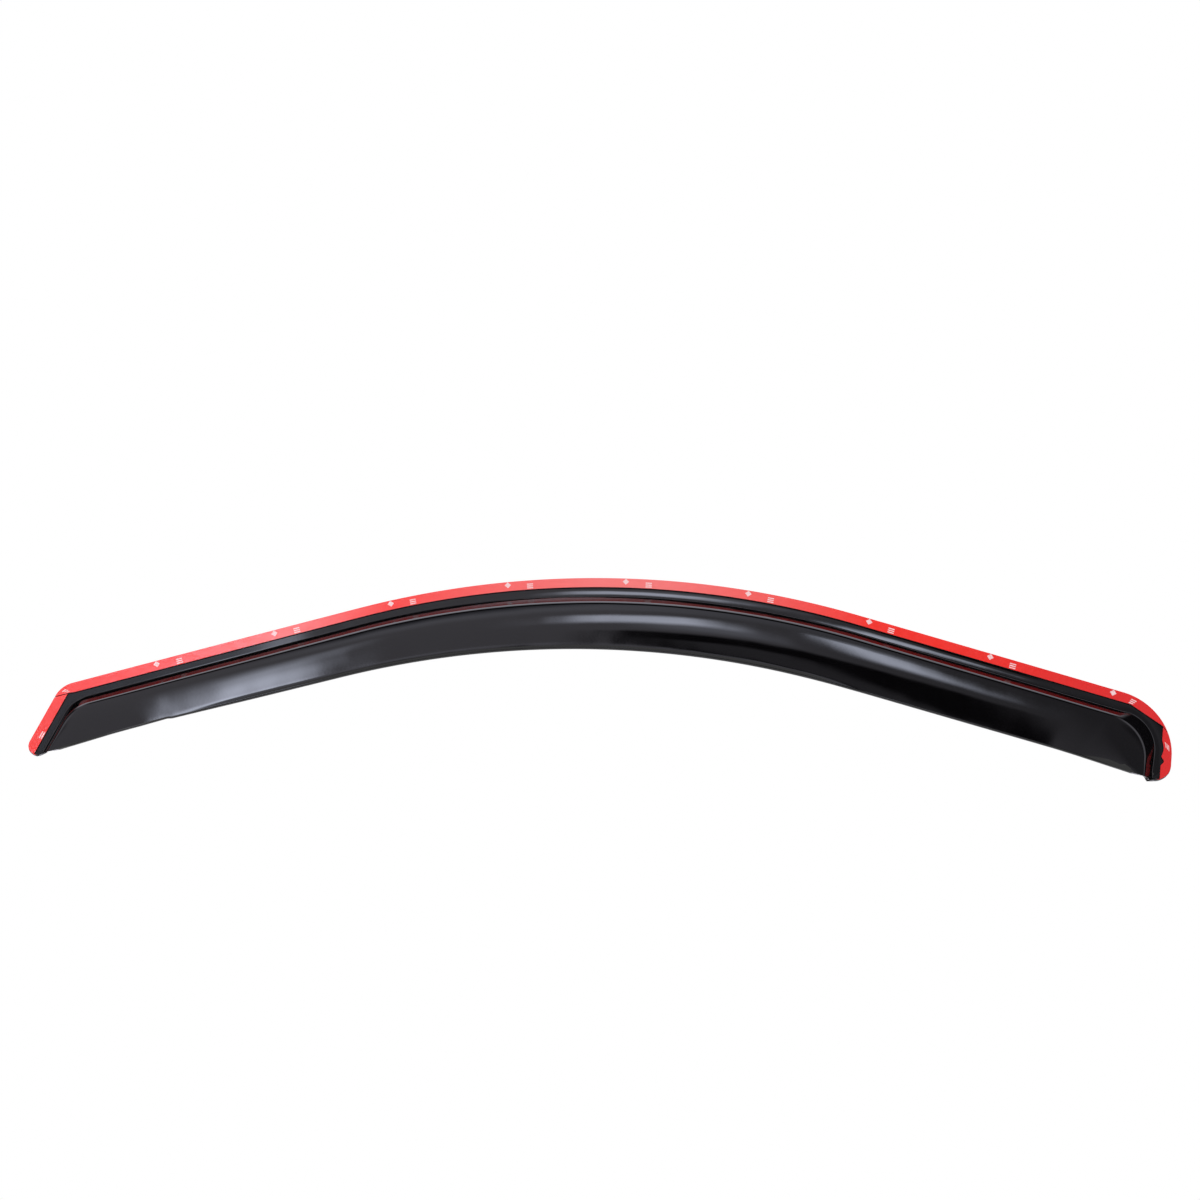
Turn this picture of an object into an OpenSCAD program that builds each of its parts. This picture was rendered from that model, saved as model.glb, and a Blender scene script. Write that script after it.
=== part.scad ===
// Side window rain deflector: a smoked acrylic shell with a taped flange, for a front door.
// Millimetres. X runs from the front tip to the rear tip, Z is up along the door glass,
// and -Y is outward from the car. The origin is on the face of the long bonding strip,
// at the middle of its width, at the top of the arch.

/* [Arch outline] */
// Fall of the front arm, degrees below level
front_arm_slope = 16; // [10:0.1:25]
// Fall of the rear arm, degrees below level
rear_arm_slope = 17.7; // [10:0.1:25]
// Radius of the flange edge over the crown
crown_radius = 770; // [600:1:950]
// Place of the crown's top along the length
crown_x = 5; // [-60:1:60]
// Place of the sharp front corner along the length
front_corner_x = -467.6; // [-520:0.1:-400]
// Place of the round rear corner's virtual point along the length
rear_corner_x = 515.4; // [420:0.1:560]
// Steepness of the front end, degrees below level
front_end_slope = 66.3; // [50:0.1:90]
// Steepness of the rear end, degrees below level, past upright
rear_end_slope = 99; // [80:0.5:110]
// Drop from the sharp front corner to the front tip's cut
front_end_drop = 64.3; // [45:0.1:90]
// Drop from the rear corner's virtual point to the rear tip's cut
rear_end_drop = 66.7; // [60:0.1:90]
// Radius of the front corner
front_corner_radius = 22; // [8:1:40]
// Radius of the rear corner
rear_corner_radius = 54; // [20:1:70]
// Radius of the flange at the front tip
front_tip_radius = 9; // [3:0.5:12]
// Radius of the flange at the rear tip
rear_tip_radius = 15; // [4:0.5:18]

/* [Flange and step] */
// Width of the flange on the front arm
flange_front = 15.8; // [12:0.1:20]
// Width of the flange on the rear arm
flange_rear = 16.2; // [12:0.1:20]
// Width of the flange at the front end
flange_front_end = 15.8; // [12:0.1:20]
// Width of the flange at the rear end, at the corner
flange_rear_end = 13.2; // [12:0.1:20]
// Radius of the crease line over the crown
crease_crown_radius = 774; // [600:1:950]
// Radius of the crease line in the front corner
crease_front_radius = 26; // [8:1:50]
// Radius of the crease line in the rear corner
crease_rear_radius = 33; // [15:1:60]
// Height of the ridge above the flange on the front arm
front_step_height = 8.2; // [4:0.1:16]
// Height of the ridge above the flange on the rear arm
rear_step_height = 9.6; // [4:0.1:16]
// Where the step's height starts to change, along the length
step_change_x = -80; // [-200:5:0]
// Length over which the step's height changes
step_change_length = 250; // [100:5:400]
// Distance from flange edge to ridge on the front arm
ridge_front = 26; // [18:0.1:35]
// Distance from flange edge to ridge on the rear arm
ridge_rear = 27.3; // [18:0.1:35]
// Distance from flange edge to ridge at the front end
ridge_front_end = 21.2; // [16:0.1:35]
// Distance from flange edge to ridge at the rear end, at the corner
ridge_rear_end = 21.8; // [16:0.1:35]
// Radius of the ridge line over the crown
ridge_crown_radius = 768; // [600:1:950]
// Radius of the ridge line in the front corner
ridge_front_radius = 36; // [12:1:60]
// Radius of the ridge line in the rear corner
ridge_rear_radius = 37.5; // [12:0.5:60]
// Steepness of the rear crease and ridge, degrees below level
rear_ridge_slope = 101; // [85:0.5:115]
// Rise of the cut from flange to step at the front tip
front_cut_rise = 2; // [0:0.1:5]
// Rise of the cut from flange to step at the rear tip
rear_cut_rise = 0; // [0:0.1:5]
// Bend radius at the foot of the step, outer skin
crease_bend = 3; // [1:0.1:5]
// Bend radius of the ridge on the arms, outer skin
ridge_bend = 12; // [5:0.5:16]
// Most that this radius may be of the face's width, where the face narrows
ridge_bend_share = 0.25; // [0.1:0.05:0.3]
// Least bend radius left on the ridge's inner skin
least_inner_bend = 0.8; // [0.3:0.1:2]

/* [Face] */
// Fall of the lower edge along the front arm, degrees
lower_front_slope = 14.8; // [10:0.1:25]
// Fall of the lower edge along the rear arm, degrees
lower_rear_slope = 17.3; // [10:0.1:25]
// Radius of the lower edge under the crown
lower_crown_radius = 791; // [600:1:950]
// Place of the lower edge's top along the length
lower_crown_x = -15; // [-60:1:60]
// Depth of the lower edge's top below the origin
lower_crown_depth = 69.3; // [55:0.1:95]
// Height of the lower edge above the flange, mid length
lower_edge_height = 14; // [8:0.1:24]
// Extra belly of the face between ridge and lower edge
face_belly = 2.6; // [0:0.1:6]
// Width of the lip rolled inward along the lower edge
lip_width = 5; // [2:0.5:10]
// Drop of that lip towards the glass
lip_drop = 1; // [0:0.1:2]
// Where the lip starts, along the length
lip_front_x = -390; // [-420:1:-300]
// Thickness of the acrylic sheet
sheet = 3; // [2:0.1:4]
// Bevel on the moulded edges
edge_bevel = 0.8; // [0.2:0.1:1.2]
// Radius of the door glass curve the flange follows
glass_radius = 2000; // [1200:50:4000]
// Depth below the origin from where the flange runs straight
straight_from = 100; // [80:5:150]

/* [Bonding strips] */
// Width of the bonding strip
strip_width = 9; // [6:0.5:12]
// Thickness of the foam
foam = 1.1; // [0.6:0.1:2]
// Thickness of the peel-off liner
liner = 0.14; // [0.08:0.01:0.3]
// Margin between strip and flange edge
strip_margin = 0.3; // [0:0.1:1]
// Glue line left between flange, foam and liner
glue_line = 0.02; // [0.005:0.005:0.05]
// Direction of the cut between long and rear strips, degrees above level
rear_joint_angle = 15; // [0:1:40]
// Gap between strip ends
strip_gap = 0.25; // [0.1:0.05:1]
// Where the strip's straight inner edge starts to cut across the rear corner
rear_turn_x = 476.5; // [440:0.5:500]
// Slope of that straight cut, degrees below level
rear_turn_slope = 37.3; // [25:0.1:60]

/* [Hidden] */
strip_top = strip_width / 2;
edge_top = strip_top + strip_margin;
foam_y = liner + glue_line;
flange_y = foam_y + foam + glue_line;
// Lengths of lower edge that the sections of each end and corner share, but for a first bit
fan_front = 56;
fan_rear = 60;
corner_start = 12;
// Length of inner rails that the sections of the rounded tips share
tip_creep = 7;
// Length of the long strip's inner edge that its corner sections share
strip_lead = 6;
// Most that the lip may be of the face's width, and the length over which it fades in
lip_share = 0.35;
lip_run_in = 8;
// Distance from each foot over which the lower edge gains its full height
rise_length = 90;
// Share of the face's width where its own sections start, and where its thickness is turned by
first_face = 0.16;
turned_by = 0.7;
// Sections along each stretch, and columns across the bends, the face and the lip
n_tip = 5;
n_end = 4;
n_front_corner = 8;
n_arm = 9;
n_crown = 24;
n_rear_corner = 12;
n_bend = 4;
n_face = 8;
n_lip = 3;
n_fine = 3;
full_turn = 360;

smoked = [0.13, 0.12, 0.13, 0.96];
foam_grey = [0.16, 0.16, 0.17];
liner_red = [0.93, 0.26, 0.22];

// Lines in the X-Z plan are [point, unit direction]; directions run from front to rear.
function fall(a) = [cos(a), -sin(a)];
function climb(a) = [cos(a), sin(a)];
function left_of(d) = [-d[1], d[0]];
function inset(l, w) = [l[0] - left_of(l[1]) * w, l[1]];
function cross2(a, b) = a[0] * b[1] - a[1] * b[0];
function meet(l, m) = l[0] + l[1] * (cross2(m[0] - l[0], m[1]) / cross2(l[1], m[1]));
function unit(v) = v / norm(v);
function mix(a, b, t) = a + (b - a) * t;
function ease(t) = t <= 0 ? 0 : t >= 1 ? 1 : t * t * (3 - 2 * t);
function clamp(t) = min(max(t, 0), 1);

// n points from a up to, not including, b
function run(a, b, n) = [for (k = [0 : n - 1]) mix(a, b, k / n)];

// Centre of a fillet of radius r between lines l and m, which turn to the right
function hub(l, m, r) = meet(inset(l, r), inset(m, r));
function bearing(l) = atan2(left_of(l[1])[1], left_of(l[1])[0]);
function swing(c, r, a, b, n) =
    [for (k = [0 : n - 1]) c + r * [cos(mix(a, b, k / n)), sin(mix(a, b, k / n))]];
function touch(c, r, l) = c + r * left_of(l[1]);
function turn(l, m, r, n) = swing(hub(l, m, r), r, bearing(l), bearing(m), n);

// The four edge lines of the flange
arm_f_axis = [crown_x - crown_radius * sin(front_arm_slope),
              edge_top - crown_radius * (1 - cos(front_arm_slope))];
arm_r_axis = [crown_x + crown_radius * sin(rear_arm_slope),
              edge_top - crown_radius * (1 - cos(rear_arm_slope))];
arm_f = [arm_f_axis, climb(front_arm_slope)];
arm_r = [arm_r_axis, fall(rear_arm_slope)];
front_corner = meet(arm_f, [[front_corner_x, 0], [0, 1]]);
rear_corner = meet(arm_r, [[rear_corner_x, 0], [0, 1]]);
end_f = [front_corner, climb(front_end_slope)];
end_r = [rear_corner, fall(rear_end_slope)];
cut_f = [front_corner - [0, front_end_drop], [-1, 0]];
cut_r = [rear_corner - [0, rear_end_drop], [-1, 0]];
inner_end_r = [rear_corner, fall(rear_ridge_slope)];

// A rail is a chain of points over the whole length, one for each station
function outer_rail(m) =
    let (ef = inset(end_f, m), af = inset(arm_f, m), ar = inset(arm_r, m), er = inset(end_r, m),
         rf = front_corner_radius - m, rc = crown_radius - m, rr = rear_corner_radius - m,
         tf = front_tip_radius - m, tr = rear_tip_radius - m,
         cf = inset(cut_f, m), cr = inset(cut_r, m))
    concat(swing(hub(cf, ef, tf), tf, -90, bearing(ef) - full_turn, n_tip),
           run(touch(hub(cf, ef, tf), tf, ef), touch(hub(ef, af, rf), rf, ef), n_end),
           turn(ef, af, rf, n_front_corner),
           run(touch(hub(ef, af, rf), rf, af), touch(hub(af, ar, rc), rc, af), n_arm),
           turn(af, ar, rc, n_crown),
           run(touch(hub(af, ar, rc), rc, ar), touch(hub(ar, er, rr), rr, ar), n_arm),
           turn(ar, er, rr, n_rear_corner),
           run(touch(hub(ar, er, rr), rr, er), touch(hub(er, cr, tr), tr, er), n_end),
           swing(hub(er, cr, tr), tr, bearing(er), -90, n_tip),
           [hub(er, cr, tr) + [0, -tr]]);

function inner_rail(wfe, wf, wr, wre, rf, rc, rr, up_f, up_r) =
    let (ef = inset(end_f, wfe), af = inset(arm_f, wf), ar = inset(arm_r, wr),
         er = inset(inner_end_r, wre),
         first = meet(inset(cut_f, up_f), ef), last = meet(inset(cut_r, up_r), er))
    concat(run(first, first + ef[1] * tip_creep, n_tip),
           run(first + ef[1] * tip_creep, touch(hub(ef, af, rf), rf, ef), n_end),
           turn(ef, af, rf, n_front_corner),
           run(touch(hub(ef, af, rf), rf, af), touch(hub(af, ar, rc), rc, af), n_arm),
           turn(af, ar, rc, n_crown),
           run(touch(hub(af, ar, rc), rc, ar), touch(hub(ar, er, rr), rr, ar), n_arm),
           turn(ar, er, rr, n_rear_corner),
           run(touch(hub(ar, er, rr), rr, er), last - er[1] * tip_creep, n_end),
           run(last - er[1] * tip_creep, last, n_tip),
           [last]);

// The lower edge runs from the foot of the front ridge to the foot of the rear ridge, and
// its first and last stretches lead straight to the ends of the ridge
lower_f = [[lower_crown_x - lower_crown_radius * sin(lower_front_slope),
            -lower_crown_depth - lower_crown_radius * (1 - cos(lower_front_slope))],
           climb(lower_front_slope)];
lower_r = [[lower_crown_x + lower_crown_radius * sin(lower_rear_slope),
            -lower_crown_depth - lower_crown_radius * (1 - cos(lower_rear_slope))],
           fall(lower_rear_slope)];
foot_f = meet(lower_f, inset(end_f, ridge_front_end));
foot_r = meet(lower_r, inset(inner_end_r, ridge_rear_end));
function lower_rail(tip_f, tip_r) =
    let (b = foot_f + lower_f[1] * fan_front, c = foot_r - lower_r[1] * fan_rear,
         u = unit(b - tip_f), w = unit(c - tip_r),
         a = tip_f + u * corner_start, d = tip_r + w * corner_start,
         hubc = hub(lower_f, lower_r, lower_crown_radius))
    concat(run(a, a + u * tip_creep, n_tip),
           run(a + u * tip_creep, b, n_end + n_front_corner),
           run(b, touch(hubc, lower_crown_radius, lower_f), n_arm),
           turn(lower_f, lower_r, lower_crown_radius, n_crown),
           run(touch(hubc, lower_crown_radius, lower_r), c, n_arm),
           run(c, d + w * tip_creep, n_rear_corner + n_end),
           run(d + w * tip_creep, d, n_tip),
           [d]);

// Lift a plan point to the curved surface of the door glass, h outward from the flange face
function bow(z) = z > -straight_from ? z * z / (2 * glass_radius)
    : straight_from * straight_from / (2 * glass_radius) - (z + straight_from) * straight_from / glass_radius;
function lift(p, h) = [p[0], flange_y + bow(p[1]) - h, p[1]];

// Arc about the corner v between points a and b, n + 1 points: the fillet of radius r is
// the outer skin, and an arc of another radius q about the same centre is the inner skin
function bend(a, v, b, r, q, n) =
    let (u = unit(a - v), w = unit(b - v), m = unit(u + w), s = unit(w - u),
         half = acos(clamp(-(u * w))) / 2, c = v + m * (r / cos(half)))
    [for (k = [0 : n]) let (t = mix(-half, half, k / n)) c - m * (q * cos(t)) + s * (q * sin(t))];
// Normal of the far side of that corner, pointing away from the bend's outer skin
function bend_normal(a, v, b) =
    let (u = unit(a - v), w = unit(b - v), m = unit(u + w), s = unit(w - u),
         half = acos(clamp(-(u * w))) / 2)
    unit(m * cos(half) - s * sin(half));

edge_rail = outer_rail(0);
crease_rail = inner_rail(flange_front_end, flange_front, flange_rear, flange_rear_end,
                         crease_front_radius, crease_crown_radius, crease_rear_radius,
                         front_cut_rise, rear_cut_rise);
ridge_rail = inner_rail(ridge_front_end, ridge_front, ridge_rear, ridge_rear_end,
                        ridge_front_radius, ridge_crown_radius, ridge_rear_radius, 0, 0);
stations = len(edge_rail);
base_rail = lower_rail(ridge_rail[0], ridge_rail[stations - 1]);
function face_width(i) = norm(ridge_rail[i] - base_rail[i]);
mid_width = face_width(floor(stations / 2));

// Height of the step at a ridge point, and of the lower edge: the step's height at both
// feet, full height along the arms
function step_at(p) =
    mix(front_step_height, rear_step_height, ease((p[0] - step_change_x) / step_change_length));
function edge_height(r, b) =
    mix(step_at(r), lower_edge_height, ease(min(norm(b - foot_f), norm(b - foot_r)) / rise_length));

// Point of the face at share v of the way from ridge to lower edge: straight, plus a belly
// that is full where v is one half, less the lip
function lip_at(i) = min(lip_width, lip_share * face_width(i));
function lip_fade(p) = ease((p[0] - lip_front_x) / lip_run_in);
function face_point(i, v) =
    let (r = ridge_rail[i], b = base_rail[i], w = face_width(i), lip = lip_at(i),
         belly = face_belly * w / mid_width * (1 - pow(2 * v - 1, 2)),
         curl = lip_drop * lip / lip_width * lip_fade(b) * pow(clamp(1 - (1 - v) * w / lip), 2))
    lift(mix(r, b, v), mix(step_at(r), edge_height(r, b), v) + belly - curl);

// One section through the sheet, from the flange edge to the lower edge, as [outer, inner].
// The flange is thickened straight inward, the bends about their own centres, and the face
// along its normal at the ridge, turning to straight inward by the lower edge.
inward = [0, 1, 0];
function section(i) =
    let (e = lift(edge_rail[i], 0), c = lift(crease_rail[i], 0),
         r = lift(ridge_rail[i], step_at(ridge_rail[i])), f = face_point(i, first_face),
         b = face_point(i, 1), lip_from = 1 - lip_at(i) / face_width(i),
         d = face_point(i, mix(1, lip_from, 1 / n_lip)), nb = bend_normal(c, r, f),
         turn_r = max(sheet + least_inner_bend, min(ridge_bend, ridge_bend_share * face_width(i))),
         e1 = e + unit(c - e) * edge_bevel, b1 = b + unit(d - b) * edge_bevel,
         vs = concat([for (k = [0 : n_face - 1]) mix(first_face, lip_from, k / n_face)],
                     [for (k = [0 : n_lip - 1]) mix(lip_from, 1, k / n_lip)]),
         face = [for (v = vs) face_point(i, v)],
         way = [for (v = vs) unit(mix(nb, inward, ease(v / turned_by)))])
    [concat([e + inward * edge_bevel, e1],
            bend(e, c, r, crease_bend, crease_bend, n_bend),
            bend(c, r, f, turn_r, turn_r, n_bend),
            face, [b1, b + inward * edge_bevel]),
     concat([e + inward * (sheet - edge_bevel), e1 + inward * sheet],
            bend(e, c, r, crease_bend, crease_bend + sheet, n_bend),
            bend(c, r, f, turn_r, turn_r - sheet, n_bend),
            [for (k = [0 : len(vs) - 1]) face[k] + way[k] * sheet],
            [b1 + inward * sheet, b + inward * (sheet - edge_bevel)])];

// Closed shell from two matching grids of points
module shell_from(sections) {
    n = len(sections);
    m = len(sections[0][0]);
    outer = [for (g = sections) each g[0]];
    inner = [for (g = sections) each g[1]];
    s = n * m;
    quads = concat(
        [for (i = [0 : n - 2]) for (j = [0 : m - 2])
            [i * m + j, i * m + j + 1, (i + 1) * m + j + 1, (i + 1) * m + j]],
        [for (i = [0 : n - 2]) for (j = [0 : m - 2])
            [s + i * m + j, s + (i + 1) * m + j, s + (i + 1) * m + j + 1, s + i * m + j + 1]],
        [for (i = [0 : n - 2]) [i * m, (i + 1) * m, s + (i + 1) * m, s + i * m]],
        [for (i = [0 : n - 2]) let (k = i * m + m - 1) [k, s + k, s + k + m, k + m]],
        [for (j = [0 : m - 2]) [j, s + j, s + j + 1, j + 1]],
        [for (j = [0 : m - 2]) let (k = (n - 1) * m + j) [k, k + 1, s + k + 1, s + k]]);
    polyhedron(points = concat(outer, inner),
               faces = [for (q = quads) each [[q[0], q[2], q[1]], [q[0], q[3], q[2]]]], convexity = 12);
}

// Strip between two plan edges with equal counts, lying on the glass curve from y0 to y0 + t
function on_glass(p, y) = [p[0], y + bow(p[1]), p[1]];
module strip(a, b, y0, t) {
    n = len(a);
    pts = concat([for (p = a) on_glass(p, y0)], [for (p = b) on_glass(p, y0)],
                 [for (p = b) on_glass(p, y0 + t)], [for (p = a) on_glass(p, y0 + t)]);
    quads = concat(
        [for (k = [0 : 3]) for (i = [0 : n - 2])
            [k * n + i, ((k + 1) % 4) * n + i, ((k + 1) % 4) * n + i + 1, k * n + i + 1]],
        [[0, 3 * n, 2 * n, n], [n - 1, 2 * n - 1, 3 * n - 1, 4 * n - 1]]);
    polyhedron(points = pts,
               faces = [for (q = quads) each [[q[0], q[2], q[1]], [q[0], q[3], q[2]]]], convexity = 6);
}

// Inner edges of the strips are straight cuts, so they turn in corners
strip_in = strip_margin + strip_width;
tape_arm_f = inset(arm_f, strip_in);
tape_arm_r = inset(arm_r, strip_in);
tape_end_f = inset(end_f, strip_in);
tape_end_r = inset(end_r, strip_in);
out_arm_f = inset(arm_f, strip_margin);
out_arm_r = inset(arm_r, strip_margin);
out_end_f = inset(end_f, strip_margin);
out_end_r = inset(end_r, strip_margin);
r_front_out = front_corner_radius - strip_margin;
r_crown_out = crown_radius - strip_margin;
r_crown_in = crown_radius - strip_in;
r_rear_out = rear_corner_radius - strip_margin;
inner_front_corner = meet(tape_end_f, tape_arm_f);
joint_f = [inner_front_corner, -left_of(end_f[1])];
joint_f_out = meet(joint_f, out_end_f);
rear_hub = hub(out_arm_r, out_end_r, r_rear_out);
joint_r_dir = [cos(rear_joint_angle), sin(rear_joint_angle)];
joint_r_out = rear_hub + joint_r_dir * r_rear_out;
turn_r_a = meet(tape_arm_r, [[rear_turn_x, 0], [0, 1]]);
turn_r_b = meet([turn_r_a, fall(rear_turn_slope)], tape_end_r);
gap_angle = strip_gap / r_rear_out * full_turn / (2 * PI);

module long_strip(y0, t) {
    corner_hub = hub(out_end_f, out_arm_f, r_front_out);
    crown_hub = hub(out_arm_f, out_arm_r, r_crown_out);
    crown_hub_in = hub(tape_arm_f, tape_arm_r, r_crown_in);
    arm_f_low = touch(corner_hub, r_front_out, out_arm_f);
    arm_r_low = touch(rear_hub, r_rear_out, out_arm_r);
    a = concat([joint_f_out + end_f[1] * strip_gap],
               turn(out_end_f, out_arm_f, r_front_out, n_front_corner),
               run(arm_f_low, touch(crown_hub, r_crown_out, out_arm_f), n_arm),
               turn(out_arm_f, out_arm_r, r_crown_out, n_crown),
               run(touch(crown_hub, r_crown_out, out_arm_r), arm_r_low, n_arm),
               swing(rear_hub, r_rear_out, bearing(arm_r), rear_joint_angle, n_rear_corner),
               [joint_r_out]);
    c0 = inner_front_corner + end_f[1] * strip_gap;
    c1 = inner_front_corner + arm_f[1] * (strip_gap + strip_lead);
    knee = arm_r_low - left_of(arm_r[1]) * strip_width;
    b = concat(run(c0, c1, n_front_corner + 1),
               run(c1, touch(crown_hub_in, r_crown_in, tape_arm_f), n_arm),
               turn(tape_arm_f, tape_arm_r, r_crown_in, n_crown),
               run(touch(crown_hub_in, r_crown_in, tape_arm_r), knee, n_arm),
               run(knee, turn_r_a, n_fine),
               run(turn_r_a, turn_r_b, n_rear_corner - n_fine),
               [turn_r_b]);
    strip(a, b, y0, t);
}

module front_strip(y0, t) {
    c = inset(cut_f, strip_margin);
    tf = front_tip_radius - strip_margin;
    h = hub(c, out_end_f, tf);
    a = concat(swing(h, tf, -90, bearing(end_f) - full_turn, n_tip),
               run(touch(h, tf, out_end_f), joint_f_out, n_end), [joint_f_out]);
    low = meet(c, tape_end_f);
    b = concat(run(low, low + end_f[1] * tip_creep, n_tip),
               run(low + end_f[1] * tip_creep, inner_front_corner, n_end), [inner_front_corner]);
    strip(a, b, y0, t);
}

module rear_strip(y0, t) {
    c = inset(cut_r, strip_margin);
    tr = rear_tip_radius - strip_margin;
    h = hub(out_end_r, c, tr);
    a = concat(swing(rear_hub, r_rear_out, rear_joint_angle - gap_angle, bearing(end_r), n_fine),
               run(touch(rear_hub, r_rear_out, out_end_r), touch(h, tr, out_end_r), n_end),
               swing(h, tr, bearing(end_r), -90, n_tip), [h + [0, -tr]]);
    top = turn_r_b + end_r[1] * strip_gap;
    low = meet(c, tape_end_r);
    b = concat(run(top, low - end_r[1] * tip_creep, n_fine + n_end),
               run(low - end_r[1] * tip_creep, low, n_tip), [low]);
    strip(a, b, y0, t);
}

module deflector_shell() {
    color(smoked) shell_from([for (i = [0 : stations - 1]) section(i)]);
}
module long_tape() {
    color(foam_grey) long_strip(foam_y, foam);
}
module front_tape() {
    color(foam_grey) front_strip(foam_y, foam);
}
module rear_tape() {
    color(foam_grey) rear_strip(foam_y, foam);
}
module long_liner() {
    color(liner_red) long_strip(0, liner);
}
module front_liner() {
    color(liner_red) front_strip(0, liner);
}
module rear_liner() {
    color(liner_red) rear_strip(0, liner);
}

deflector_shell();
long_tape();
front_tape();
rear_tape();
long_liner();
front_liner();
rear_liner();
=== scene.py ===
"""Looks of a side window rain deflector: a smoked acrylic shell with three taped strips.

The part stands as it is fixed on the door: X from the front tip to the rear tip, Z up the
door glass, -Y outward. Sizes are in millimetres, and those of the outline and the section
are the ones that the CAD model is driven by. A comment says where a size shapes a small
form that is in this script alone. Meshes are made in metres.
"""
import math

import bpy
import numpy as np
from mathutils import Matrix, Vector


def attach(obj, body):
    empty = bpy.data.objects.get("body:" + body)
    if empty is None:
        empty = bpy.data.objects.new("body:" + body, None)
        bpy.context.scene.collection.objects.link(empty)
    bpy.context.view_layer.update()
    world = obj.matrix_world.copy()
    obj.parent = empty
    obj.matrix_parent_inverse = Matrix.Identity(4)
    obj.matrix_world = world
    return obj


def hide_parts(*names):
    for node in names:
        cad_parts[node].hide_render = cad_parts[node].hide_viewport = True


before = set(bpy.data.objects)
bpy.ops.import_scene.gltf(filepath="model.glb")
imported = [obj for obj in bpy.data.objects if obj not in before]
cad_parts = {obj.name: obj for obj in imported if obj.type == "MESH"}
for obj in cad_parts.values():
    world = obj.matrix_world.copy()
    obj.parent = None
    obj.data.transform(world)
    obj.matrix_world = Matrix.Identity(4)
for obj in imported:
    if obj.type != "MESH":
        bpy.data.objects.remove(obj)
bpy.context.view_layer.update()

MM = 0.001

# Arch outline of the flange
FRONT_ARM_SLOPE = 16.0
REAR_ARM_SLOPE = 17.7
CROWN_RADIUS = 770.0
CROWN_X = 5.0
FRONT_CORNER_X = -467.6
REAR_CORNER_X = 515.4
FRONT_END_SLOPE = 66.3
REAR_END_SLOPE = 99.0
FRONT_END_DROP = 64.3
REAR_END_DROP = 66.7
FRONT_CORNER_RADIUS = 22.0
REAR_CORNER_RADIUS = 54.0
FRONT_TIP_RADIUS = 9.0
REAR_TIP_RADIUS = 15.0

# Flange and step
FLANGE_FRONT = 15.8
FLANGE_REAR = 16.2
FLANGE_FRONT_END = 15.8
FLANGE_REAR_END = 13.2
CREASE_CROWN_RADIUS = 774.0
CREASE_FRONT_RADIUS = 26.0
CREASE_REAR_RADIUS = 33.0
FRONT_STEP_HEIGHT = 8.2
REAR_STEP_HEIGHT = 9.6
STEP_CHANGE_X = -80.0
STEP_CHANGE_LENGTH = 250.0
RIDGE_FRONT = 26.0
RIDGE_REAR = 27.3
RIDGE_FRONT_END = 21.2
RIDGE_REAR_END = 21.8
RIDGE_CROWN_RADIUS = 768.0
RIDGE_FRONT_RADIUS = 36.0
RIDGE_REAR_RADIUS = 37.5
REAR_RIDGE_SLOPE = 101.0
FRONT_CUT_RISE = 2.0
REAR_CUT_RISE = 0.0
CREASE_BEND = 3.0
RIDGE_BEND = 12.0
RIDGE_BEND_SHARE = 0.25      # of the face's width, where the face is narrow
LEAST_INNER_BEND = 0.8
# Here alone: the radius on which the flange turns outward beside the strips, where this
# curve starts and how far on it is full, and the depth of the step's hollow
FLANGE_CURVE = 27.0
CURVE_FROM_X = -130.0
CURVE_RUN_IN = 120.0
STEP_HOLLOW = 0.4

# Face
LOWER_FRONT_SLOPE = 14.8
LOWER_REAR_SLOPE = 17.3
LOWER_CROWN_RADIUS = 791.0
LOWER_CROWN_X = -15.0
LOWER_CROWN_DEPTH = 69.3
LOWER_EDGE_HEIGHT = 14.0
FACE_BELLY = 2.6
LIP_WIDTH = 5.0
LIP_DROP = 1.0
LIP_SHARE = 0.35             # of the face's width, where the face is narrow
SHEET = 3.0
EDGE_ROUND = 0.8
GLASS_RADIUS = 2000.0        # the door glass's curve, which runs on straight below this depth
STRAIGHT_FROM = 100.0
RISE_LENGTH = 90.0           # from each foot the lower edge gains its height over this
FIRST_FACE = 0.16            # share of the face that the ridge's fillet aims at
TURNED_BY = 0.7              # share by which the sheet's thickness is straight inward
FAN_FRONT = 56.0             # last stretches of the lower edge, which lead to the ends
FAN_REAR = 60.0
CORNER_START = 12.0          # where the lower edge starts, from the ridge's end
TIP_CREEP = 7.0              # how far the inner rails move while the edge rounds a tip
# Here alone: where the rolled lip comes in and fades out, and the small step in the lower
# edge just before it
LIP_FRONT_X = -369.0
LIP_RUN_IN = 90.0
LIP_REAR_X = 180.0
LIP_RUN_OUT = 70.0
NICK_DEPTH = 1.0
NICK_X = -367.0
NICK_LENGTH = 25.0

# Bonding strips
STRIP_WIDTH = 9.0
FOAM = 1.1
LINER = 0.14
STRIP_MARGIN = 0.3
GLUE_LINE = 0.02
REAR_JOINT_ANGLE = 15.0
STRIP_GAP = 0.9              # here alone this wide, as the photograph shows it
REAR_TURN_X = 476.5
REAR_TURN_SLOPE = 37.3

# Mesh density: points along each stretch of the outline, and across the section
FINE = 5
N_TIP, N_END, N_FRONT_CORNER, N_ARM, N_CROWN, N_REAR_CORNER = (
    FINE * n for n in (5, 4, 8, 9, 24, 12))
N_FLANGE = 6
N_CREASE = 8
N_STEP = 8
N_RIDGE = 16
N_FACE = 24
N_LIP = 8
N_ROUND = 4

EDGE_TOP = STRIP_WIDTH / 2 + STRIP_MARGIN
STRIP_IN = STRIP_MARGIN + STRIP_WIDTH
FOAM_Y = LINER + GLUE_LINE
FLANGE_Y = FOAM_Y + FOAM + GLUE_LINE


# Plan geometry. A line is (point, unit direction), running from front to rear.
def direction(degrees):
    return np.array([math.cos(math.radians(degrees)), math.sin(math.radians(degrees))])


def left_of(d):
    return np.array([-d[1], d[0]])


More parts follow.
